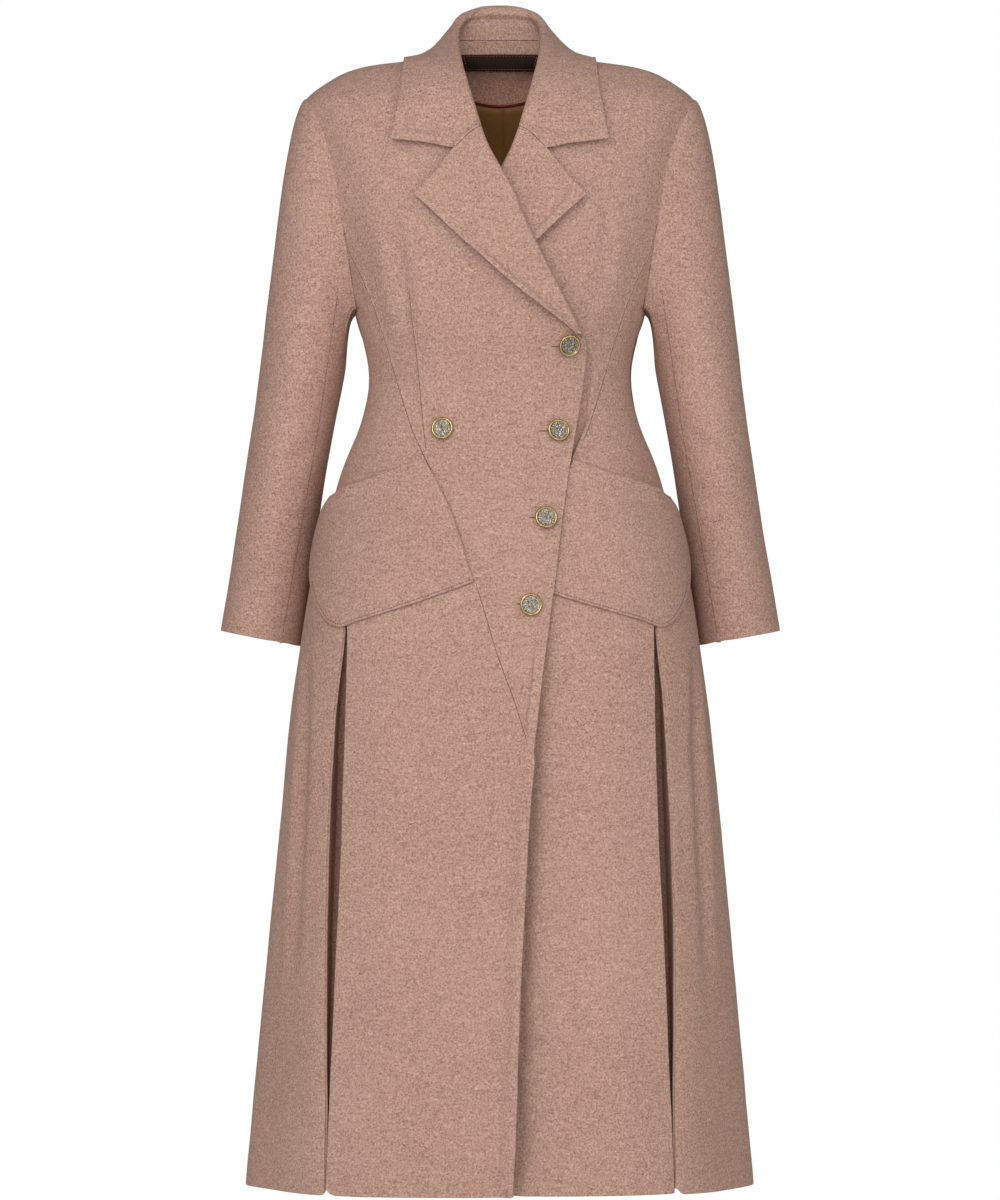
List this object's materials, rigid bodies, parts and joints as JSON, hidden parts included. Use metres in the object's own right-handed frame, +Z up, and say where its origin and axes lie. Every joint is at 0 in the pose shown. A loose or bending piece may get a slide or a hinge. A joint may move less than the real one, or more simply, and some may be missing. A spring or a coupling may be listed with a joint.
{
  "type": "women's wool coat",
  "caption": "Hollow worn-form flared wool midi coat with notched collar, wide lapels, lapped front, hip patch pockets, inverted skirt pleats and gold-rimmed buttons.",
  "frame": {"origin": "middle of the neck base, level with where the shoulder seams meet the neck: where the wearer's shoulders hold the coat", "axes": "+Z up along the wearer's body, -Y the way the coat faces, -X the wearer's right"},
  "size_m": [0.6012, 0.4341, 1.2644],
  "materials": {
    "wool": "heathered rose-camel wool melton with a soft nap",
    "facing": "the same wool, inside the neck",
    "lining": "olive-brown satin",
    "label": "matt dark brown woven tape, bare",
    "piping": "dark red covered cord",
    "button": "bright gold rim with a hammered silver-gold centre"
  },
  "bodies": {
    "root": {"right_front": "wool", "left_front": "wool", "right_side_body": "wool", "left_side_body": "wool", "right_skirt_front": "wool", "left_skirt_front": "wool", "right_skirt_side": "wool", "left_skirt_side": "wool", "right_back": "wool", "left_back": "wool", "right_top_sleeve": "wool", "left_top_sleeve": "wool", "right_under_sleeve": "wool", "left_under_sleeve": "wool", "right_lapel": "wool", "left_lapel": "wool", "collar_fall": "wool", "collar_stand": "wool", "right_pocket": "wool", "left_pocket": "wool", "back_neck_facing": "facing", "back_lining": "lining", "label": "label", "facing_piping": "piping", "button_1": "button", "button_2": "button", "button_3": "button", "button_4": "button", "button_5": "button"}
  },
  "joints": []
}
